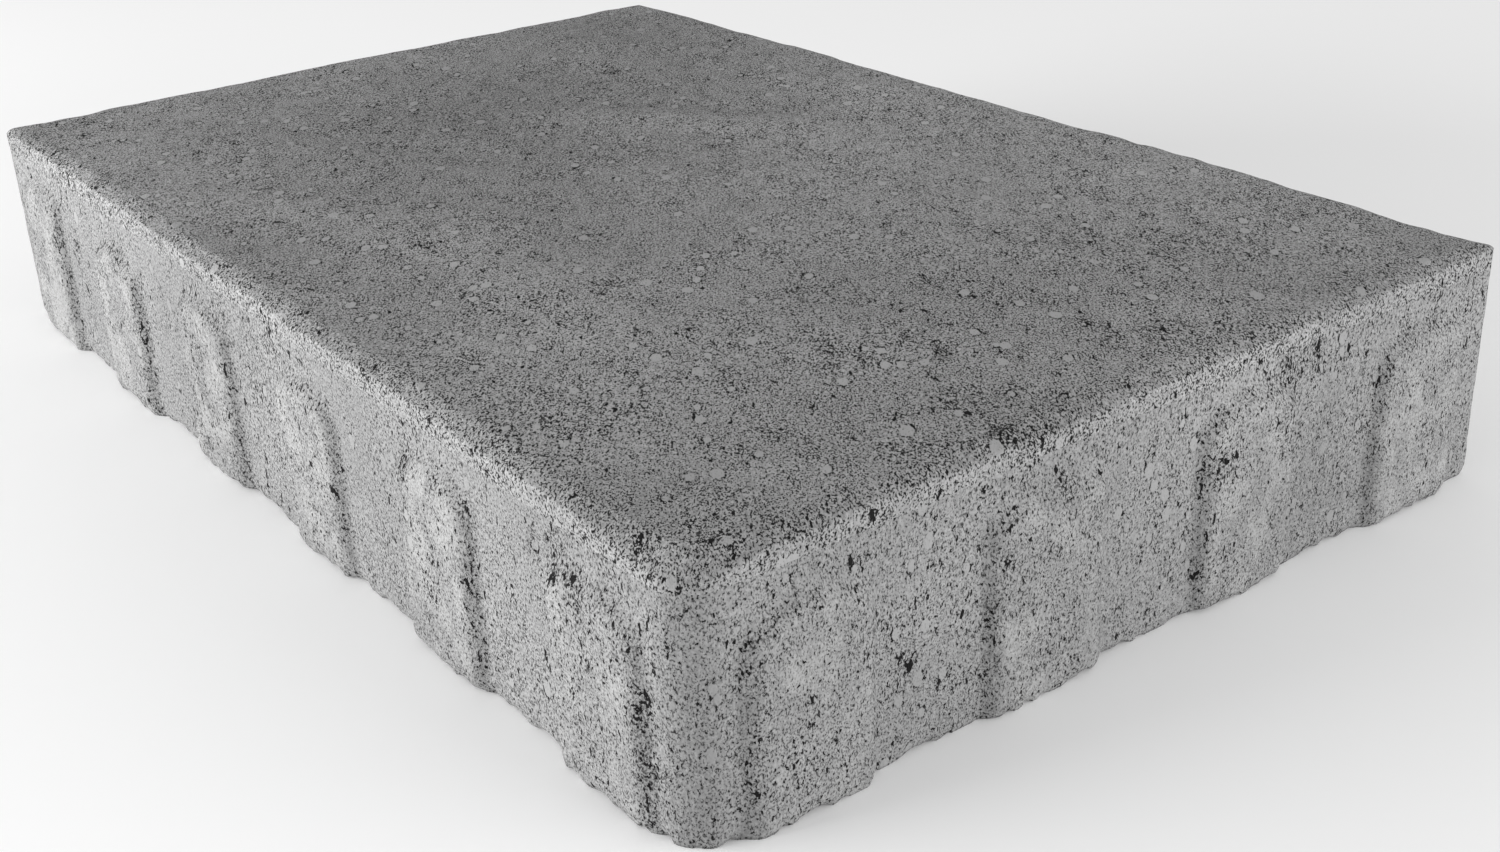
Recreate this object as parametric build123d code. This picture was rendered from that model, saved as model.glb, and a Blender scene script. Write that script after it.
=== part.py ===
"""Large pressed-concrete paving slab with cast-in spacer ribs on its four sides.

Units are millimetres. The slab lies on its bed face: +Z is up, X runs along the long side, Y along
the short side, and the origin is the middle of the bed face.

The slab is pressed in one mould from two mixes. The backing course is the coarse load-bearing
concrete and carries the ribs; the face course is the thin, fine wearing layer on top of it. The two
meet on one flat plane.
"""
from build123d import *
import os

# Module: the size the slab takes up in the pavement, measured over the rib crowns
SLAB_LENGTH = 600.0
SLAB_WIDTH = 400.0
SLAB_HEIGHT = 100.0

# Courses
FACE_COURSE_HEIGHT = 10.0
BACKING_COURSE_HEIGHT = SLAB_HEIGHT - FACE_COURSE_HEIGHT

# Spacer ribs: the same pitch on every side, half a pitch in from each end of the module
RIB_PITCH = 100.0
RIB_RELIEF = 4.5
RIB_ROOT_WIDTH = 54.0
RIB_FLANK_RUN = 7.0
RIB_HEAD_DROP = 16.0
RIB_HEAD_RISE = 9.0
RIB_CROWN_EDGE = 1.2

# Body of the slab between the ribs
BODY_LENGTH = SLAB_LENGTH - 2 * RIB_RELIEF
BODY_WIDTH = SLAB_WIDTH - 2 * RIB_RELIEF
CORNER_RADIUS = 6.0
ARRIS_WIDTH = 8.0
ARRIS_DROP = 2.0
ARRIS_HEAD_RADIUS = 2.0

# The rib's flanks slope by the same angle at its two sides and at its head
RIB_FLANK_ANGLE = Vector(RIB_RELIEF, RIB_FLANK_RUN).get_angle(Vector(1, 0))
RIB_HEAD_HEIGHT = SLAB_HEIGHT - RIB_HEAD_DROP
RIB_OVERRUN = 3 * RIB_FLANK_RUN


def plan_of_body(inset=0.0, radius=CORNER_RADIUS):
    """Plan of the slab without its ribs, or of a smaller outline set in from it."""
    return RectangleRounded(BODY_LENGTH - 2 * inset, BODY_WIDTH - 2 * inset, radius)


def rib_outline():
    """Front view of one rib at its root: upright sides and an arched head."""
    half = RIB_ROOT_WIDTH / 2
    shoulder = RIB_HEAD_HEIGHT - RIB_HEAD_RISE
    sides_and_foot = Polyline(
        (-half, shoulder),
        (-half, -RIB_OVERRUN),
        (half, -RIB_OVERRUN),
        (half, shoulder),
    )
    head = ThreePointArc((half, shoulder), (0, RIB_HEAD_HEIGHT), (-half, shoulder))
    return make_face([*sides_and_foot.edges(), head])


def rib():
    """One rib standing out along +Y from the plane Y = 0, with its foot on Z = 0."""
    upright = Plane(origin=(0, 0, 0), x_dir=(-1, 0, 0), z_dir=(0, 1, 0))
    boss = extrude(upright * rib_outline(), amount=RIB_RELIEF, taper=RIB_FLANK_ANGLE)
    crown = boss.faces().sort_by(Axis.Y)[-1]
    boss = fillet(crown.edges(), RIB_CROWN_EDGE)
    above_bed = Pos(0, 0, SLAB_HEIGHT / 2) * Box(RIB_PITCH, RIB_PITCH, SLAB_HEIGHT)
    return boss & above_bed


def ribs_along_side(side_length, distance_out, turn):
    """The row of ribs on one side, whose outward direction is +Y turned about Z."""
    count = round(side_length / RIB_PITCH)
    for number in range(count):
        along = (number + 0.5) * RIB_PITCH - side_length / 2
        yield Rot(0, 0, turn) * Pos(along, distance_out, 0) * rib()


def all_ribs():
    """Ribs of the four sides, each rooted on the body's wall."""
    for turn in (0, 180):
        yield from ribs_along_side(SLAB_LENGTH, BODY_WIDTH / 2, turn)
    for turn in (90, 270):
        yield from ribs_along_side(SLAB_WIDTH, BODY_LENGTH / 2, turn)


def backing_course():
    """Coarse load-bearing concrete with the ribs pressed on its sides."""
    body = extrude(plan_of_body(), amount=BACKING_COURSE_HEIGHT)
    return body.fuse(*all_ribs())


def face_course():
    """Fine wearing layer, with a wide shallow arris all round the top."""
    wall_height = FACE_COURSE_HEIGHT - ARRIS_DROP
    wall = Pos(0, 0, BACKING_COURSE_HEIGHT) * extrude(plan_of_body(), amount=wall_height)
    arris_foot = Pos(0, 0, SLAB_HEIGHT - ARRIS_DROP) * plan_of_body()
    arris_head = Pos(0, 0, SLAB_HEIGHT) * plan_of_body(ARRIS_WIDTH, ARRIS_HEAD_RADIUS)
    return wall + loft([arris_foot, arris_head], ruled=True)


PARTS = {
    "backing_course": backing_course,
    "face_course": face_course,
}

os.makedirs("parts", exist_ok=True)
for name, make in PARTS.items():
    solid = make()
    solid.label = name
    export_step(solid, f"parts/{name}.step")
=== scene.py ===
import math

import bpy
import numpy as np
from bpy.props import FloatProperty, FloatVectorProperty, IntProperty, PointerProperty
from mathutils import Matrix, Vector


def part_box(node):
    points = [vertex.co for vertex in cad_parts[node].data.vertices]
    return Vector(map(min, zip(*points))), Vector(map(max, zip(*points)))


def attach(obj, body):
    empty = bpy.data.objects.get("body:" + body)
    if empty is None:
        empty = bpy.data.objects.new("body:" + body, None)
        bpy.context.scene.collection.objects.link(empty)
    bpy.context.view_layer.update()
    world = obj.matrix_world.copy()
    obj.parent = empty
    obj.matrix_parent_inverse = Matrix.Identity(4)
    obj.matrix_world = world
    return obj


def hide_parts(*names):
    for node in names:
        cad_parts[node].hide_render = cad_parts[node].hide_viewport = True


bl_info = {
    "name": "Concrete Paving Slab",
    "version": (1, 0, 0),
    "blender": (4, 5, 0),
    "location": "View3D > Sidebar > Slab",
    "description": "Gives the two courses of a ribbed paving slab their cast shape and concrete finish",
    "category": "Add Mesh",
}

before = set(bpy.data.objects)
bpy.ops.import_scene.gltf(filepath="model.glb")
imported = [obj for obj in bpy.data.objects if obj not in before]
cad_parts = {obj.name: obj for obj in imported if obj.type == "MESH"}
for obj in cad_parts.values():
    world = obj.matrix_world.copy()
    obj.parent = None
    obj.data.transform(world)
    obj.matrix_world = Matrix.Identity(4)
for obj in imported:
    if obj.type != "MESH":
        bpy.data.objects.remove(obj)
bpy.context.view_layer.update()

MM = 0.001

# The CAD model gives the slab's sizes: the backing course reaches out to the rib crowns, and the
# face course stops at the wall between them.
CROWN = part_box("backing_course")[1]
WALL_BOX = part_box("face_course")
WALL = WALL_BOX[1]
SEAM_Z = WALL_BOX[0].z
TOP_Z = WALL.z
RIB_RELIEF = CROWN.x - WALL.x

# Each course's wall runs this far on past the seam, this far behind the other's wall
LIP = 0.3 * MM
LIP_INSET = 0.03 * MM

# Roughness of the surfaces: height or weight, size of the lumps, and seed
RIB_BEND = (0.9 * MM, 14 * MM, 31)
RIB_RAGGED = (0.5 * MM, 5 * MM, 32)
RIB_HEAD_WAVE = (1.5 * MM, 9 * MM, 35)
WALL_WAVE = (0.5 * MM, 70 * MM, 41)
WALL_RUBBLE = (0.28 * MM, 9 * MM, 42)
WALL_GRAIN = (0.12 * MM, 2.6 * MM, 43)
UNDER_EDGE = (0.5 * MM, 24 * MM, 44)
BED_SMALL = (1.0, 4 * MM, 51)
BED_LARGE = (1.0, 15 * MM, 52)
FACE_LONG_WAVE = (0.8 * MM, 150 * MM, 61)
FACE_SHORT_WAVE = (0.35 * MM, 55 * MM, 62)
FACE_DRAGGED = (0.35 * MM, 60 * MM, 63)
FACE_RUBBLE = (0.12 * MM, 9 * MM, 65)
ARRIS_RAGGED = (0.28, 26 * MM, 66)
ARRIS_LONG_CHIPS = (0.30, 34 * MM, 67)
ARRIS_SHORT_CHIPS = (0.30, 11 * MM, 68)
TEAR_LUMPS = (1.0, 4 * MM, 71)

# How far single ribs differ in half width, head height and relief, each with its seed
RIB_WIDTH_CHOICE = (1.5 * MM, 33)
RIB_HEAD_CHOICE = (4 * MM, 34)
RIB_RELIEF_CHOICE = (0.06, 36)

# Multipliers that scatter the bits of a grid point and a seed
CELL_PRIMES = (73856093, 19349663, 83492791)
SEED_PRIME = 15485863
SCATTER = ((15, 739395001), (13, 1274126177))
LOW_BITS = 0xFFFF
WORD = 0xFFFFFFFF

# Where the finish's patterns turn on: the noise values at which each starts and is full
SPECK_STEP = (0.50, 0.70)
PIT_STEP = (0.635, 0.68)
VOID_STEP = (0.68, 0.70)
STONE_PICK_STEP = (0.70, 0.74)
STONE_EDGE_STEP = (0.17, 0.24)
STONE_RIM_STEP = (0.27, 0.38)
BLOOM_STEP = (0.52, 0.72)

# Sizes of the finish's patterns
WIDE_CLOUD = 150 * MM
CLOUD = 60 * MM
BLOOM_PATCH = 14 * MM
PATCH = 9 * MM
STONE = 8 * MM
VOID = 2.4 * MM

DARKEST_TONE = 0.1
SHEEN = 0.12

# Places of the colour sockets on a Mix node
MIX_FACTOR, MIX_FIRST, MIX_SECOND, MIX_RESULT = 0, 6, 7, 2

FLOOR_HALF = 6.0
FLOOR_ROUGHNESS = 0.9

# How soft each upper corner of the casting is, by the signs of its X and Y: 1 is well rolled over, 0
# like the rest of the edge, and less than 0 is crisper
CORNER_SOFTNESS = {(1, -1): 1.0, (1, 1): -0.15, (-1, -1): -0.3, (-1, 1): 0.3}

# Long low swells of the wearing face: start, end, half width and height. A hollow has a negative
# height.
SWELLS = (
    ((-0.155, 0.020), (-0.020, 0.128), 0.010, -0.0007),
    ((-0.140, 0.010), (-0.010, 0.092), 0.020, 0.0011),
    ((-0.135, -0.072), (-0.040, -0.012), 0.009, -0.0005),
    ((-0.120, -0.165), (0.020, -0.098), 0.022, 0.0009),
    ((0.020, -0.098), (0.150, -0.128), 0.026, 0.0007),
    ((-0.110, 0.150), (-0.010, 0.165), 0.022, 0.0008),
    ((-0.290, 0.120), (-0.230, 0.150), 0.030, -0.0009),
    ((-0.270, -0.010), (-0.230, 0.020), 0.020, -0.0006),
    ((0.100, -0.060), (0.230, 0.020), 0.030, -0.0005),
    ((-0.150, -0.190), (-0.150, 0.190), 0.100, -0.0011),
)

# How the face course's finer mix differs from the backing mix
FACE_MIX = {
    "grain": 0.62 * MM,
    "tone": 1.35,
    "edge_dulling": 0.22,
    "drag": 1.6,
    "drag_angle": math.radians(-36),
    "sparkle": 0.5,
    "fine_pit_shade": 1.6,
    "openness": 0.014,
    "stone_paleness": 0.14,
}

# Places where the mix tore open in the mould: middle and reach
TEARS = (
    ((0.217, -0.196, 0.077), 0.004),
    ((0.231, -0.196, 0.079), 0.005),
    ((0.244, -0.196, 0.070), 0.006),
    ((0.276, -0.196, 0.045), 0.005),
    ((0.278, -0.196, 0.025), 0.005),
    ((0.134, -0.196, 0.074), 0.004),
    ((-0.210, -0.196, 0.060), 0.004),
    ((0.296, 0.071, 0.081), 0.006),
    ((0.296, 0.086, 0.085), 0.005),
    ((0.296, -0.045, 0.074), 0.004),
    ((0.296, -0.071, 0.059), 0.004),
    ((0.296, 0.034, 0.056), 0.006),
    ((0.296, -0.110, 0.035), 0.005),
    ((0.229, -0.035, 0.100), 0.005),
    ((0.289, -0.063, 0.100), 0.006),
    ((0.243, 0.021, 0.100), 0.004),
    ((-0.021, 0.048, 0.100), 0.004),
    ((-0.168, 0.089, 0.100), 0.005),
    ((-0.060, -0.150, 0.100), 0.004),
    ((-0.100, 0.196, 0.078), 0.006),
    ((0.150, 0.196, 0.050), 0.005),
    ((-0.296, 0.060, 0.070), 0.006),
    ((-0.296, -0.090, 0.050), 0.005),
)


def hashed(cells, seed):
    """A repeatable value from 0 to 1 for each whole-numbered point."""
    scaled = cells * np.array(CELL_PRIMES)
    mixed = (scaled[..., 0] ^ scaled[..., 1] ^ scaled[..., 2] ^ seed * SEED_PRIME) & WORD
    for shift, factor in SCATTER:
        mixed = ((mixed ^ (mixed >> shift)) * factor) & WORD
    return ((mixed ^ (mixed >> 16)) & LOW_BITS) / LOW_BITS


def lumps(points, size, seed):
    """Smooth noise from -1 to 1, with lumps of about the given size."""
    scaled = points / size
    cell = np.floor(scaled).astype(np.int64)
    part = scaled - cell
    part = part * part * (3 - 2 * part)
    total = np.zeros(len(points))
    for corner in np.ndindex(2, 2, 2):
        weight = np.prod(np.where(corner, part, 1 - part), axis=1)
        total += weight * hashed(cell + np.array(corner), seed)
    return 2 * total - 1


def rubble(points, size, seed, layers=3):
    """Layers of ever finer lumps, from about -1 to 1."""
    total = np.zeros(len(points))
    for layer in range(layers):
        total += lumps(points, size / 2**layer, seed + layer) / 2**layer
    return total / (2 - 2 ** (1 - layers))


def wave(points, kind):
    """Lumps of one kind of roughness."""
    height, size, seed = kind
    return height * lumps(points, size, seed)


def ease(values):
    """A smooth step from 0 to 1 over the values 0 to 1."""
    held = np.clip(values, 0, 1)
    return held * held * (3 - 2 * held)


def chosen(number, side, choice):
    """A repeatable difference for each numbered rib of a side."""
    spread, seed = choice
    whole = np.stack([number, side, np.zeros_like(number)], axis=-1).astype(np.int64)
    return spread * (2 * hashed(whole, seed) - 1)


class Casting:
    """The cast shape of the slab, for one set of sizes."""

    def __init__(self, shape):
        self.shape = shape

    def radius(self, x, y):
        """Plan radius of the upright corner nearest each point."""
        return np.where((x > 0) & (y < 0), self.shape.front_radius, self.shape.corner_radius)

    def lines(self, half):
        """Places of the mesh lines across one direction, closer together at both edges."""
        shape = self.shape
        inner = half - shape.edge_zone
        edge = shape.edge_zone * np.linspace(0, 1, shape.edge_lines + 1)[:-1] ** 1.2
        middle = np.linspace(-inner, inner, 1 + round(2 * inner / shape.mesh_step))
        return np.concatenate([edge - half, middle, (half - edge)[::-1]])

    def outline_fit(self, x, y):
        """Moves points of a square-cornered grid into the slab's round-cornered plan."""
        radius = self.radius(x, y)
        u = np.clip((np.abs(x) - (WALL.x - radius)) / radius, 0, 1)
        v = np.clip((np.abs(y) - (WALL.y - radius)) / radius, 0, 1)
        fitted_x = np.abs(x) + radius * u * (np.sqrt(1 - v * v / 2) - 1)
        fitted_y = np.abs(y) + radius * v * (np.sqrt(1 - u * u / 2) - 1)
        return np.sign(x) * fitted_x, np.sign(y) * fitted_y

    def edge_distance(self, x, y):
        """How far inside the wall each point is, and the wall's outward direction there."""
        radius = self.radius(x, y)
        qx = np.abs(x) - (WALL.x - radius)
        qy = np.abs(y) - (WALL.y - radius)
        out_x, out_y = np.maximum(qx, 0), np.maximum(qy, 0)
        length = np.hypot(out_x, out_y)
        inside = radius - length - np.minimum(np.maximum(qx, qy), 0)
        in_corner = length > 1e-9
        safe = np.where(in_corner, length, 1)
        nx = np.where(in_corner, out_x / safe, qx >= qy) * np.sign(x)
        ny = np.where(in_corner, out_y / safe, qx < qy) * np.sign(y)
        return inside, nx, ny

    def corner_softness(self, x, y, reach):
        """How much each point within reach shares in a softened corner of the slab."""
        total = np.zeros(len(x))
        for (sign_x, sign_y), softness in CORNER_SOFTNESS.items():
            away = np.hypot(x - sign_x * WALL.x, y - sign_y * WALL.y)
            total += softness * np.exp(-((away / reach) ** 2))
        return total

    def rib(self, x, y, z):
        """Height of the ribs over the wall, from 0 at the wall to 1 on a crown."""
        shape = self.shape
        on_end = np.abs(x) / WALL.x > np.abs(y) / WALL.y
        along = np.where(on_end, y, x)
        half_module = np.where(on_end, CROWN.y, CROWN.x)
        side = np.where(on_end, 2 + np.sign(x), 7 + np.sign(y))
        place = (along + half_module) / shape.rib_pitch
        number = np.floor(place)
        points = np.stack([x, y, z], axis=1)
        across = (place - number - 0.5) * shape.rib_pitch
        across = across + wave(points, RIB_BEND) + wave(points, RIB_RAGGED)
        half = shape.rib_root_width / 2 + chosen(number, side, RIB_WIDTH_CHOICE)
        head = TOP_Z - shape.rib_head_drop + chosen(number, side, RIB_HEAD_CHOICE)
        head = head - shape.rib_head_rise * (across / half) ** 2
        head = head + wave(points, RIB_HEAD_WAVE)
        flank = np.clip((half - np.abs(across)) / shape.rib_flank_run, 0, 1)
        crest = ease((head - z) / shape.rib_head_run)
        depth = 1 - RIB_RELIEF_CHOICE[0] + chosen(number, side, RIB_RELIEF_CHOICE)
        return depth * (1 - (1 - flank) ** 1.8) * crest

    def wall_relief(self, x, y, z):
        """How far the cast wall stands out of its plane, ribs apart."""
        points = np.stack([x, y, z], axis=1)
        height, size, seed = WALL_RUBBLE
        relief = wave(points, WALL_WAVE) + height * rubble(points, size, seed)
        relief += wave(points * (1, 1, 0.5), WALL_GRAIN)
        near_edge = np.exp(-(((TOP_Z - z) / self.shape.under_edge_reach) ** 2))
        return relief + near_edge * wave(points, UNDER_EDGE)

    def bed_bite(self, x, y):
        """How badly the bed edge is broken away, from 0 to about 1."""
        points = np.stack([x, y, np.zeros_like(x)], axis=1)
        small = np.clip(wave(points, BED_SMALL) + 0.15, 0, 1)
        large = np.clip(wave(points, BED_LARGE) - 0.15, 0, 1)
        return 0.75 * small + large

    def out_of_wall(self, x, y, z):
        """Whole outward offset of a wall point, with the bed edge broken away."""
        shape = self.shape
        rib = self.rib(x, y, z)
        near_bed = np.clip(1 - z / shape.bed_break_height, 0, 1) ** 2
        bite = shape.bed_break * near_bed * (0.5 + self.bed_bite(x, y)) + self.tear_depth(x, y, z)
        bite = bite + shape.corner_wear * self.corner_softness(x, y, shape.corner_wear_reach)
        return RIB_RELIEF * rib + self.wall_relief(x, y, z) * (1 + 0.5 * rib) - bite, rib

    def undulation(self, x, y):
        """The wearing face's natural unevenness."""
        points = np.stack([x, y, np.zeros_like(x)], axis=1)
        height = wave(points, FACE_LONG_WAVE) + wave(points, FACE_SHORT_WAVE)
        leaning = np.stack([x * 0.84 + y * 0.54, (y * 0.84 - x * 0.54) * 2.6, 0 * x], axis=1)
        share, size, seed = FACE_DRAGGED
        height += share * rubble(leaning, size, seed, 2)
        share, size, seed = FACE_RUBBLE
        height += share * rubble(points, size, seed)
        for start, end, width, rise in SWELLS:
            height += rise * self.swell(x, y, start, end, width)
        return height * self.shape.unevenness

    def face_height(self, x, y):
        """Height of the wearing face, arris included."""
        shape = self.shape
        points = np.stack([x, y, np.zeros_like(x)], axis=1)
        inside, _, _ = self.edge_distance(x, y)
        soft = self.corner_softness(x, y, shape.soft_corner_reach)
        share, size, seed = ARRIS_RAGGED
        width = shape.arris_width * (1 + share * rubble(points, size, seed) + 1.5 * soft)
        chips = wave(points, ARRIS_LONG_CHIPS) + wave(points, ARRIS_SHORT_CHIPS)
        drop = shape.arris_drop * (1 + chips + 2.2 * soft)
        slope = np.clip(1 - inside / width, 0, 1)
        lip = np.clip(1 - inside / shape.rim_width, 0, 1)
        edge = drop * slope**1.2 + shape.rim_drop * lip**2 + self.tear_depth(x, y, 0 * x + TOP_Z)
        return TOP_Z + self.undulation(x, y) - edge

    @staticmethod
    def torn(x, y, z):
        """How far each point lies in a torn place, from 0 to 1."""
        share = np.zeros(len(x))
        for middle, reach in TEARS:
            dx, dy, dz = x - middle[0], y - middle[1], (z - middle[2]) / 1.6
            away = np.sqrt(dx**2 + dy**2 + dz**2)
            share = np.maximum(share, np.exp(-((away / reach) ** 2)))
        return share

    def tear_depth(self, x, y, z):
        """Depth of the hollows in the torn places."""
        points = np.stack([x, y, z], axis=1)
        hollows = np.clip(0.4 + wave(points * (1, 1, 0.6), TEAR_LUMPS), 0, 1)
        return self.shape.tear_depth * self.torn(x, y, z) * hollows

    @staticmethod
    def swell(x, y, start, end, width):
        """A long round-ended rise between two points, 1 high along its middle."""
        run = np.array(end) - np.array(start)
        away_x, away_y = x - start[0], y - start[1]
        share = np.clip((away_x * run[0] + away_y * run[1]) / (run @ run), 0, 1)
        away = np.hypot(away_x - share * run[0], away_y - share * run[1])
        return np.exp(-((away / width) ** 2)) * np.sin(math.pi * (0.12 + 0.76 * share))


class MeshParts:
    """Vertices, faces and surface measures of one piece while it is put together."""

    def __init__(self):
        self.points = []
        self.faces = []
        self.measures = {"wall": [], "crown": [], "torn": [], "rise": []}
        self.count = 0
        self.flat = []

    def add(self, x, y, z, **given):
        """Adds points with the given surface measures, and returns their numbers."""
        numbers = self.count + np.arange(len(x))
        self.points.append(np.stack([x, y, z], axis=1))
        given["torn"] = Casting.torn(x, y, z)
        for name, values in self.measures.items():
            values.append(np.broadcast_to(given.get(name, 0.0), len(x)))
        self.count += len(x)
        return numbers

    def band(self, upper, lower):
        """Quads between two closed rows of the same number of points."""
        self.faces += np.stack([upper, lower, np.roll(lower, -1), np.roll(upper, -1)], 1).tolist()

    def cap(self, row):
        """Closes a row of points with one flat face."""
        self.flat.append(len(self.faces))
        self.faces.append(row.tolist())

    def piece(self, name, material):
        """Makes the mesh object."""
        mesh = bpy.data.meshes.new(name)
        mesh.from_pydata(np.concatenate(self.points), [], self.faces)
        for measure, values in self.measures.items():
            layer = mesh.attributes.new(measure, "FLOAT", "POINT")
            layer.data.foreach_set("value", np.concatenate(values).astype(np.float32))
        smooth = np.ones(len(self.faces), bool)
        smooth[self.flat] = False
        mesh.polygons.foreach_set("use_smooth", smooth)
        mesh.materials.append(material)
        mesh.validate()
        thing = bpy.data.objects.new(name, mesh)
        bpy.context.scene.collection.objects.link(thing)
        return thing


def plan_grid(casting):
    """The plan points of the slab's mesh grid, and the numbers of its border points in order."""
    lines_x, lines_y = casting.lines(WALL.x), casting.lines(WALL.y)
    x, y = np.meshgrid(lines_x, lines_y)
    numbers = np.arange(x.size).reshape(x.shape)
    sides = (numbers[0, :-1], numbers[:-1, -1], numbers[-1, :0:-1], numbers[:0:-1, 0])
    border = np.concatenate(sides)
    x, y = casting.outline_fit(x.ravel(), y.ravel())
    return x, y, numbers, border


def grid_quads(numbers):
    """Upward-facing quads of a grid of numbered points."""
    near, far = numbers[:-1], numbers[1:]
    return np.stack([near[:, :-1], near[:, 1:], far[:, 1:], far[:, :-1]], -1).reshape(-1, 4)


def add_row(parts, casting, ring, z, inset=0.0):
    """One row of wall points all round the slab, at the given heights."""
    x, y = ring
    _, nx, ny = casting.edge_distance(x, y)
    out, rib = casting.out_of_wall(x, y, z)
    out = out - inset
    return parts.add(x + nx * out, y + ny * out, z, wall=1.0, crown=rib)


def face_course_piece(shape, material):
    """The wearing face with its arris, and the thin band of wall above the seam."""
    casting = Casting(shape)
    parts = MeshParts()
    x, y, numbers, border = plan_grid(casting)
    z = casting.face_height(x, y)
    inside, nx, ny = casting.edge_distance(x, y)
    near = inside < shape.arris_width
    out = np.zeros(len(x))
    wall_x, wall_y = x + nx * inside, y + ny * inside
    shift, _ = casting.out_of_wall(wall_x[near], wall_y[near], z[near])
    out[near] = shift * (1 - inside[near] / shape.arris_width) ** 2
    wall_share = ease(1 - inside / shape.arris_width)
    # The rise measure lets the finish paint light and shade on the wearing face: paler on its rises,
    # darker in its hollows
    rise = np.clip(casting.undulation(x, y) / shape.painted_light_full_rise, -1, 1)
    grid = parts.add(x + nx * out, y + ny * out, z, wall=0.35 * wall_share, rise=rise)
    parts.faces += grid[grid_quads(numbers)].tolist()
    ring = (x[border], y[border])
    rows = [grid[border]]
    edge = z[border]
    for share in np.linspace(0, 1, shape.band_rows + 1)[1:]:
        rows.append(add_row(parts, casting, ring, edge + (SEAM_Z - edge) * share))
    rows.append(add_row(parts, casting, ring, np.full(len(border), SEAM_Z - LIP), LIP_INSET))
    for upper, lower in zip(rows, rows[1:]):
        parts.band(upper, lower)
    parts.cap(rows[-1][::-1])
    return parts.piece("face_course_cast", material)


def backing_course_piece(shape, material):
    """The ribbed walls below the seam, with the ragged bed edge and the flat bed."""
    casting = Casting(shape)
    parts = MeshParts()
    x, y, _, border = plan_grid(casting)
    ring = (x[border], y[border])
    lift = shape.bed_break * 0.8 * casting.bed_bite(*ring)
    rows = [add_row(parts, casting, ring, np.full(len(border), SEAM_Z + LIP), LIP_INSET)]
    for share in np.linspace(0, 1, shape.wall_rows + 1):
        rows.append(add_row(parts, casting, ring, SEAM_Z + (lift - SEAM_Z) * share))
    low_points = np.concatenate(parts.points)[rows[-1]]
    for share in (0.35, 0.7, 1.0):
        shrink = share * shape.bed_break * 2 / WALL.x
        inward_x = low_points[:, 0] * (1 - shrink)
        inward_y = low_points[:, 1] * (1 - shrink * WALL.x / WALL.y)
        rows.append(parts.add(inward_x, inward_y, lift * (1 - share) ** 2, wall=0.6 * (1 - share)))
    for upper, lower in zip(rows, rows[1:]):
        parts.band(upper, lower)
    parts.cap(rows[0])
    parts.cap(rows[-1][::-1])
    return parts.piece("backing_course_cast", material)


class Socket:
    """A shader socket that can stand in a Python expression."""

    def __init__(self, tree, end):
        self.tree = tree
        self.end = end

    def math(self, operation, *operands):
        """A Math node on this tree, whose operands are sockets or numbers."""
        node = self.tree.nodes.new("ShaderNodeMath")
        node.operation = operation
        for entry, value in zip(node.inputs, operands):
            connect(self.tree, value, entry)
        return Socket(self.tree, node.outputs[0])

    def __add__(self, other):
        return self.math("ADD", self, other)

    __radd__ = __add__

    def __sub__(self, other):
        return self.math("SUBTRACT", self, other)

    def __rsub__(self, other):
        return self.math("SUBTRACT", other, self)

    def __mul__(self, other):
        return self.math("MULTIPLY", self, other)

    __rmul__ = __mul__

    def over(self, low, high):
        """A smooth step of this value from 0 at low to 1 at high."""
        node = self.tree.nodes.new("ShaderNodeMapRange")
        node.interpolation_type = "SMOOTHSTEP"
        for entry, value in zip(node.inputs, (self, low, high, 0, 1)):
            connect(self.tree, value, entry)
        return Socket(self.tree, node.outputs[0])


def connect(tree, value, entry):
    """Links a socket to a node's input, or sets the input to a plain value."""
    if isinstance(value, Socket):
        tree.links.new(value.end, entry)
    else:
        entry.default_value = value


class Finish:
    """A material under construction."""

    def __init__(self, name):
        self.material = bpy.data.materials.new(name)
        self.material.use_nodes = True
        self.tree = self.material.node_tree
        self.tree.nodes.clear()

    def node(self, kind, settings, inputs, output):
        """Adds a node with its settings and inputs, and returns one of its outputs."""
        made = self.tree.nodes.new(kind)
        for name, value in settings.items():
            setattr(made, name, value)
        for name, value in inputs.items():
            connect(self.tree, value, made.inputs[name])
        return Socket(self.tree, made.outputs[output])

    def attribute(self, name):
        """A surface measure stored on the mesh."""
        return self.node("ShaderNodeAttribute", {"attribute_name": name}, {}, "Fac")

    def noise(self, where, size, detail=2.0):
        """Noise about 0.5, with features of the given size."""
        inputs = {"Vector": where, "Scale": 1 / size, "Detail": detail}
        return self.node("ShaderNodeTexNoise", {"noise_dimensions": "3D"}, inputs, "Fac")

    def cells(self, where, size, feature, output):
        """A cell pattern with cells of the given size."""
        inputs = {"Vector": where, "Scale": 1 / size}
        return self.node("ShaderNodeTexVoronoi", {"feature": feature}, inputs, output)

    def stretched(self, where, angle, scale):
        """A place whose patterns come out stretched along axes turned by the angle."""
        inputs = {"Vector": where, "Rotation": (0, 0, angle), "Scale": scale}
        return self.node("ShaderNodeMapping", {"vector_type": "TEXTURE"}, inputs, "Vector")

    def tint(self, amount, first, second):
        """A colour that goes from first to second with the amount."""
        made = self.tree.nodes.new("ShaderNodeMix")
        made.data_type = "RGBA"
        made.clamp_factor = False
        for place, value in ((MIX_FACTOR, amount), (MIX_FIRST, first), (MIX_SECOND, second)):
            connect(self.tree, value, made.inputs[place])
        return Socket(self.tree, made.outputs[MIX_RESULT])


def grey(tone):
    """A neutral colour of one tone."""
    return (tone, tone, tone, 1)


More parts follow.
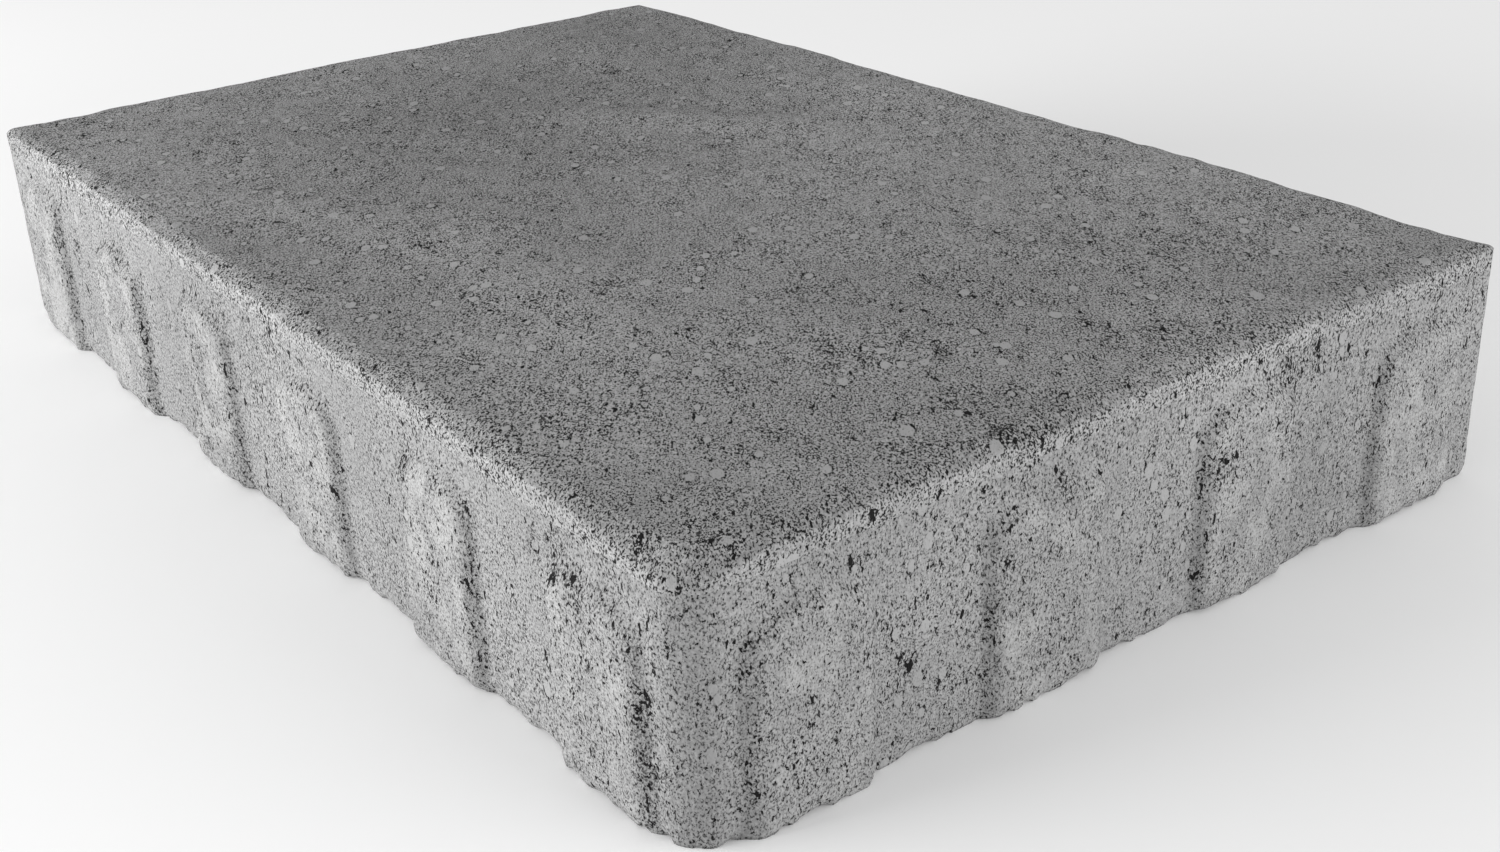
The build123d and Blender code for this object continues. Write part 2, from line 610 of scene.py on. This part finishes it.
def concrete(name, mix, looks):
    """Pressed concrete: cement matrix, sand grains, pits between them, and larger stones."""
    finish = Finish(name)
    place = finish.node("ShaderNodeTexCoord", {}, {}, "Object")
    wall = finish.attribute("wall")
    crown = finish.attribute("crown")
    torn_open = finish.attribute("torn")
    rise = finish.attribute("rise")
    flank = 4 * crown * (1 - crown)

    # The mould drags the mix up its walls, the larger voids most of all, and the press foot drags
    # the wearing face a little
    drawn = finish.stretched(place, mix.drag_angle, (mix.drag, 1, 1.35))
    torn = finish.stretched(place, mix.drag_angle, (mix.drag, 1, 2.2))

    wide_cloud = finish.noise(place, WIDE_CLOUD)
    cloud = finish.noise(place, CLOUD, 3.0)
    patch = finish.noise(drawn, PATCH, 3.0)
    sand = finish.noise(drawn, mix.grain, 1.0)
    grit = finish.noise(drawn, 1.7 * mix.grain, 2.0)

    # Stones that show as smooth rounds, some with a gap round them
    stone_colour = finish.cells(drawn, STONE, "F1", "Color")
    stone_pick = finish.node("ShaderNodeSeparateColor", {}, {"Color": stone_colour}, "Red")
    stone_size = finish.node("ShaderNodeSeparateColor", {}, {"Color": stone_colour}, "Blue")
    stone_distance = finish.cells(drawn, STONE, "F1", "Distance") + 0.12 * (stone_size - 0.5)
    stone_distance = stone_distance + 0.45 * (patch - 0.5)
    picked = stone_pick.over(*STONE_PICK_STEP)
    inside_stone = 1 - stone_distance.over(*STONE_EDGE_STEP)
    stone = picked * inside_stone
    rim = picked * (1 - inside_stone) * (1 - stone_distance.over(*STONE_RIM_STEP))

    # Where the mix closed badly it is more open: in patches, round stones, along rib flanks and
    # where it tore. Along the rib flanks the extra dark pits are partly real honeycombing and partly
    # painted shade on the flanks
    openness = 0.18 * (patch - 0.5) + 0.1 * (cloud - 0.5) + 0.05 * rim + 0.025 * flank - 0.08 * stone
    openness = openness + 0.075 * torn_open + mix.openness

    # Fine pits between the sand grains, coarser ones, and a few torn voids
    speck = (sand + openness).over(*SPECK_STEP)
    pit = (grit + openness).over(*PIT_STEP)
    void = (finish.noise(torn, VOID, 3.0) + 1.1 * openness).over(*VOID_STEP)
    hole = pit.math("MAXIMUM", pit, void)

    grain = finish.cells(drawn, 1.1 * mix.grain, "F1", "Color")
    grain_tone = finish.node("ShaderNodeSeparateColor", {}, {"Color": grain}, "Green")

    tone = mix.tone - mix.edge_dulling * wall + 0.50 * (cloud - 0.5) + 0.25 * (patch - 0.5)
    # Painted light and shade: the wearing face is paler where it rises and darker in its hollows, as
    # its swells would be lit
    tone = tone + 0.20 * rise + mix.stone_paleness * stone + 0.40 * (wide_cloud - 0.5)
    tone = tone + mix.sparkle * (grain_tone - 0.5) * (1 - stone) * (1 - 0.4 * wall)
    # Painted shade in the fine pits between the sand grains darkens the matrix
    tone = tone - mix.fine_pit_shade * speck * (1 - 0.6 * stone) * (1 - 0.25 * wall)
    tone = tone + 1.1 * (0.5 - grit) * (1 - stone)
    tone = tone.math("MAXIMUM", tone, DARKEST_TONE)

    # Lime bloom on the rib crowns and here and there on the walls
    bloom_noise = finish.noise(drawn, BLOOM_PATCH, 4.0) + 0.10 * crown * wall
    bloom = bloom_noise.over(*BLOOM_STEP) * (0.06 * wall + 0.20 * crown * wall)
    base = finish.tint(tone, grey(0), mix.colour)
    base = finish.tint(bloom, base, looks.bloom_colour)
    # Painted shade: the pits and voids are coloured near black for the shade that falls inside them
    base = finish.tint(hole, base, looks.pit_shade_colour)

    relief = -0.35 * MM * hole - 0.15 * MM * speck + 0.3 * MM * (grit - 0.5)
    relief = relief + 0.10 * MM * stone + 0.5 * MM * (patch - 0.5) - 0.6 * MM * void
    bump = {"Height": relief, "Strength": looks.bump_strength, "Distance": 1.0}
    normal = finish.node("ShaderNodeBump", {}, bump, "Normal")
    rough = 0.86 + 0.1 * hole

    surface = {"Base Color": base, "Roughness": rough, "Normal": normal, "Specular IOR Level": SHEEN}
    shader = finish.node("ShaderNodeBsdfPrincipled", {}, surface, "BSDF")
    output = finish.tree.nodes.new("ShaderNodeOutputMaterial")
    connect(finish.tree, shader, output.inputs["Surface"])
    return finish.material


class SlabShape(bpy.types.PropertyGroup):
    """Sizes of the cast slab."""

    mesh_step: FloatProperty(
        name="Mesh Step", description="Distance between mesh lines", default=1.75 * MM, unit="LENGTH")
    edge_zone: FloatProperty(
        name="Edge Zone", description="Width of the finer mesh along each edge", default=16 * MM,
        unit="LENGTH")
    edge_lines: IntProperty(
        name="Edge Lines", description="Mesh lines across each edge zone", default=12)
    band_rows: IntProperty(
        name="Band Rows", description="Mesh rows down the face course's wall", default=6)
    wall_rows: IntProperty(
        name="Wall Rows", description="Mesh rows down the backing course's wall", default=62)
    corner_radius: FloatProperty(
        name="Corner Radius", description="Plan radius of the crisp upright corners",
        default=5 * MM, unit="LENGTH")
    front_radius: FloatProperty(
        name="Front Radius", description="Plan radius of the one well-rounded upright corner",
        default=15 * MM, unit="LENGTH")
    soft_corner_reach: FloatProperty(
        name="Soft Corner Reach", description="How far a soft corner spreads", default=22 * MM,
        unit="LENGTH")
    corner_wear: FloatProperty(
        name="Corner Wear", description="How far the softest upright corner is rubbed back",
        default=1.0 * MM, unit="LENGTH")
    corner_wear_reach: FloatProperty(
        name="Corner Wear Reach", description="How far the wear of an upright corner spreads",
        default=10 * MM, unit="LENGTH")
    under_edge_reach: FloatProperty(
        name="Under Edge Reach", description="How far down the wall's wavy upper edge reaches",
        default=9 * MM, unit="LENGTH")
    arris_width: FloatProperty(
        name="Arris Width", description="Width of the sloping upper edge", default=8 * MM,
        unit="LENGTH")
    arris_drop: FloatProperty(
        name="Arris Drop", description="Height lost over the upper edge", default=2.4 * MM,
        unit="LENGTH")
    rim_width: FloatProperty(
        name="Rim Width", description="Width of the steeper outermost part of the arris",
        default=1.6 * MM, unit="LENGTH")
    rim_drop: FloatProperty(
        name="Rim Drop", description="Further height lost over that part", default=0.5 * MM,
        unit="LENGTH")
    unevenness: FloatProperty(
        name="Unevenness", description="Share of the wearing face's natural unevenness", default=1.2,
        subtype="FACTOR")
    # Rise at which the painted light on the wearing face is full
    painted_light_full_rise: FloatProperty(
        name="Full Rise", description="Rise of the wearing face at which it is palest",
        default=1.5 * MM, unit="LENGTH")
    rib_pitch: FloatProperty(
        name="Rib Pitch", description="Distance between rib middles", default=100 * MM, unit="LENGTH")
    rib_root_width: FloatProperty(
        name="Rib Root Width", description="Width of a rib at the wall", default=54 * MM,
        unit="LENGTH")
    rib_flank_run: FloatProperty(
        name="Rib Flank Run", description="Width of a rib's sloping side", default=7 * MM,
        unit="LENGTH")
    rib_head_drop: FloatProperty(
        name="Rib Head Drop", description="Distance from the top down to a rib's head",
        default=16 * MM, unit="LENGTH")
    rib_head_rise: FloatProperty(
        name="Rib Head Rise", description="Rise of the arch at a rib's head", default=9 * MM,
        unit="LENGTH")
    rib_head_run: FloatProperty(
        name="Rib Head Run", description="Height over which a rib fades out at its head",
        default=12 * MM, unit="LENGTH")
    tear_depth: FloatProperty(
        name="Tear Depth", description="Depth of the hollows where the mix tore", default=1.6 * MM,
        unit="LENGTH")
    bed_break: FloatProperty(
        name="Bed Break", description="Depth of the chips along the bed edge", default=2.2 * MM,
        unit="LENGTH")
    bed_break_height: FloatProperty(
        name="Bed Break Height", description="How far up the wall the chips reach", default=6 * MM,
        unit="LENGTH")


class ConcreteMix(bpy.types.PropertyGroup):
    """One mix of concrete."""

    colour: FloatVectorProperty(
        name="Colour", description="Colour of the cement matrix", subtype="COLOR", size=4,
        default=(0.228, 0.228, 0.228, 1))
    grain: FloatProperty(
        name="Grain", description="Size of the sand grains", default=0.65 * MM, unit="LENGTH")
    tone: FloatProperty(
        name="Tone", description="Lightness of the matrix beside its colour", default=0.98)
    edge_dulling: FloatProperty(
        name="Edge Dulling", description="Lightness lost on the walls", default=0.0)
    drag: FloatProperty(
        name="Drag", description="How much the finish is drawn out along its drag", default=1.0)
    drag_angle: FloatProperty(
        name="Drag Angle", description="Direction of the drag in plan", default=0.0,
        subtype="ANGLE")
    sparkle: FloatProperty(
        name="Sparkle", description="How much the sand grains differ in tone", default=0.25)
    # Strength of the painted shade in the fine pits
    fine_pit_shade: FloatProperty(
        name="Speckle", description="How much the fine pits darken the matrix", default=0.95)
    openness: FloatProperty(
        name="Openness", description="How much more open than usual the mix is", default=0.0)
    stone_paleness: FloatProperty(
        name="Stone Paleness", description="How much paler the stones are than the matrix",
        default=0.10)


class ConcreteLooks(bpy.types.PropertyGroup):
    """Finish of both courses."""

    # Colour of the painted shade inside the pits and voids
    pit_shade_colour: FloatVectorProperty(
        name="Pit Colour", description="Colour inside the pits", subtype="COLOR", size=4,
        default=(0.008, 0.008, 0.008, 1))
    bloom_colour: FloatVectorProperty(
        name="Bloom Colour", description="Colour of the lime bloom", subtype="COLOR", size=4,
        default=(0.42, 0.42, 0.415, 1))
    bump_strength: FloatProperty(
        name="Bump Strength", description="Strength of the fine relief", default=1.0, min=0, max=1,
        subtype="FACTOR")


class StageSet(bpy.types.PropertyGroup):
    """Floor, light and viewpoint."""

    floor_colour: FloatVectorProperty(
        name="Floor Colour", description="Colour of the studio floor", subtype="COLOR", size=4,
        default=(0.94, 0.94, 0.94, 1))
    sky_strength: FloatProperty(
        name="Sky Strength", description="Strength of the even light from all round", default=0.58)
    key_power: FloatProperty(
        name="Key Power", description="Power of the light on the long side", default=72.0,
        unit="POWER")
    fill_power: FloatProperty(
        name="Fill Power", description="Power of the light on the short side", default=37.0,
        unit="POWER")
    rear_power: FloatProperty(
        name="Rear Power", description="Power of the light behind the slab", default=4.0,
        unit="POWER")
    key_azimuth: FloatProperty(
        name="Key Azimuth", description="Side the long side's light stands on", subtype="ANGLE",
        default=math.radians(-26))
    fill_azimuth: FloatProperty(
        name="Fill Azimuth", description="Side the short side's light stands on", subtype="ANGLE",
        default=math.radians(116))
    rear_azimuth: FloatProperty(
        name="Rear Azimuth", description="Side the rear light stands on", subtype="ANGLE",
        default=math.radians(225))
    light_length: FloatProperty(
        name="Light Length", description="Length of each light", default=1.7, unit="LENGTH")
    light_height: FloatProperty(
        name="Light Height", description="Height of each light", default=0.5, unit="LENGTH")
    light_distance: FloatProperty(
        name="Light Distance", description="Distance of each light from the slab", default=2.0,
        unit="LENGTH")
    light_elevation: FloatProperty(
        name="Light Elevation", description="Height of each light above the floor", subtype="ANGLE",
        default=math.radians(9))
    lens: FloatProperty(name="Lens", description="Focal length in millimetres", default=44.8)
    azimuth: FloatProperty(
        name="Azimuth", description="Turn of the view round the slab", subtype="ANGLE",
        default=math.radians(53.81))
    elevation: FloatProperty(
        name="Elevation", description="Height of the view above the floor", subtype="ANGLE",
        default=math.radians(25.69))
    roll: FloatProperty(
        name="Roll", description="Turn of the camera about its own line of sight", subtype="ANGLE",
        default=math.radians(2.335))
    distance: FloatProperty(
        name="Distance", description="Distance from the camera to its target", default=0.715,
        unit="LENGTH")
    target: FloatVectorProperty(
        name="Target", description="Point the camera looks at", subtype="XYZ", unit="LENGTH",
        default=(0.1488, -0.0605, 0.050))


def fit_to_course(piece, node):
    """Hangs a cast piece from the slab's one body and hides its CAD node."""
    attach(piece, "root")
    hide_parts(node)


class SLAB_OT_face_course(bpy.types.Operator):
    """Cast the fine wearing layer with its arris"""

    bl_idname = "slab.face_course"
    bl_label = "Face Course"

    def execute(self, context):
        scene = context.scene
        material = concrete("face_concrete_cast", scene.slab_face_mix, scene.slab_looks)
        piece = face_course_piece(scene.slab_shape, material)
        fit_to_course(piece, "face_course")
        return {"FINISHED"}


class SLAB_OT_backing_course(bpy.types.Operator):
    """Cast the coarse course with its spacer ribs"""

    bl_idname = "slab.backing_course"
    bl_label = "Backing Course"

    def execute(self, context):
        scene = context.scene
        material = concrete("backing_concrete_cast", scene.slab_backing_mix, scene.slab_looks)
        piece = backing_course_piece(scene.slab_shape, material)
        fit_to_course(piece, "backing_course")
        return {"FINISHED"}


def aimed(thing, place, target, roll=0.0):
    """Puts a light or camera at a place, facing the target."""
    place, target = Vector(place), Vector(target)
    turn = (target - place).to_track_quat("-Z", "Y").to_matrix() @ Matrix.Rotation(roll, 3, "Z")
    thing.matrix_world = Matrix.Translation(place) @ turn.to_4x4()


def around(azimuth, elevation):
    """Unit direction from the slab towards a viewpoint."""
    level = math.cos(elevation)
    return Vector((math.sin(azimuth) * level, -math.cos(azimuth) * level, math.sin(elevation)))


def soft_light(name, power, azimuth, stage):
    """A long low light that faces one side of the slab."""
    data = bpy.data.lights.new(name, "AREA")
    data.shape = "RECTANGLE"
    data.energy = power
    data.size = stage.light_length
    data.size_y = stage.light_height
    lamp = bpy.data.objects.new(name, data)
    bpy.context.scene.collection.objects.link(lamp)
    direction = around(azimuth, stage.light_elevation)
    aimed(lamp, direction * stage.light_distance, (0, 0, TOP_Z / 2))


def studio_floor(colour):
    """A wide pale floor."""
    mesh = bpy.data.meshes.new("studio_floor")
    corners = [(FLOOR_HALF * x, FLOOR_HALF * y, 0) for x, y in ((-1, -1), (1, -1), (1, 1), (-1, 1))]
    mesh.from_pydata(corners, [], [(0, 1, 2, 3)])
    paint = bpy.data.materials.new("studio_floor_paint")
    paint.use_nodes = True
    shader = paint.node_tree.nodes["Principled BSDF"]
    shader.inputs["Base Color"].default_value = colour
    shader.inputs["Roughness"].default_value = FLOOR_ROUGHNESS
    mesh.materials.append(paint)
    floor = bpy.data.objects.new("studio_floor", mesh)
    bpy.context.scene.collection.objects.link(floor)


class SLAB_OT_stage(bpy.types.Operator):
    """Set up the floor, the lights and the camera"""

    bl_idname = "slab.stage"
    bl_label = "Stage"

    def execute(self, context):
        stage = context.scene.slab_stage
        studio_floor(stage.floor_colour)
        world = bpy.data.worlds.new("studio_sky")
        world.use_nodes = True
        sky = world.node_tree.nodes["Background"]
        sky.inputs["Color"].default_value = (1, 1, 1, 1)
        sky.inputs["Strength"].default_value = stage.sky_strength
        context.scene.world = world
        soft_light("long_side_light", stage.key_power, stage.key_azimuth, stage)
        soft_light("short_side_light", stage.fill_power, stage.fill_azimuth, stage)
        soft_light("rear_light", stage.rear_power, stage.rear_azimuth, stage)
        context.scene.view_settings.view_transform = "Standard"

        data = bpy.data.cameras.new("camera")
        data.lens = stage.lens
        data.clip_start = 0.01
        camera = bpy.data.objects.new("camera", data)
        context.scene.collection.objects.link(camera)
        target = Vector(stage.target)
        place = target + around(stage.azimuth, stage.elevation) * stage.distance
        aimed(camera, place, target, -stage.roll)
        context.scene.camera = camera
        return {"FINISHED"}


class SLAB_PT_panel(bpy.types.Panel):
    """Lists the slab's operators and settings"""

    bl_label = "Paving Slab"
    bl_idname = "SLAB_PT_panel"
    bl_space_type = "VIEW_3D"
    bl_region_type = "UI"
    bl_category = "Slab"

    def draw(self, context):
        for operator in OPERATORS:
            self.layout.operator(operator.bl_idname)
        for group in SETTINGS:
            settings = getattr(context.scene, group)
            box = self.layout.box()
            box.label(text=group)
            for name in settings.__annotations__:
                box.prop(settings, name)


OPERATORS = (SLAB_OT_face_course, SLAB_OT_backing_course, SLAB_OT_stage)
SETTINGS = {
    "slab_shape": SlabShape,
    "slab_backing_mix": ConcreteMix,
    "slab_face_mix": ConcreteMix,
    "slab_looks": ConcreteLooks,
    "slab_stage": StageSet,
}
CLASSES = (SlabShape, ConcreteMix, ConcreteLooks, StageSet, *OPERATORS, SLAB_PT_panel)


def register():
    """Adds the slab's classes and settings to Blender."""
    for cls in CLASSES:
        bpy.utils.register_class(cls)
    for name, group in SETTINGS.items():
        setattr(bpy.types.Scene, name, PointerProperty(type=group))


def unregister():
    """Takes the slab's classes and settings out of Blender."""
    for name in SETTINGS:
        delattr(bpy.types.Scene, name)
    for cls in reversed(CLASSES):
        bpy.utils.unregister_class(cls)


def main():
    """Casts the slab and sets the stage."""
    register()
    for name, value in FACE_MIX.items():
        setattr(bpy.context.scene.slab_face_mix, name, value)
    bpy.ops.slab.face_course()
    bpy.ops.slab.backing_course()
    bpy.ops.slab.stage()


if __name__ == "__main__":
    main()
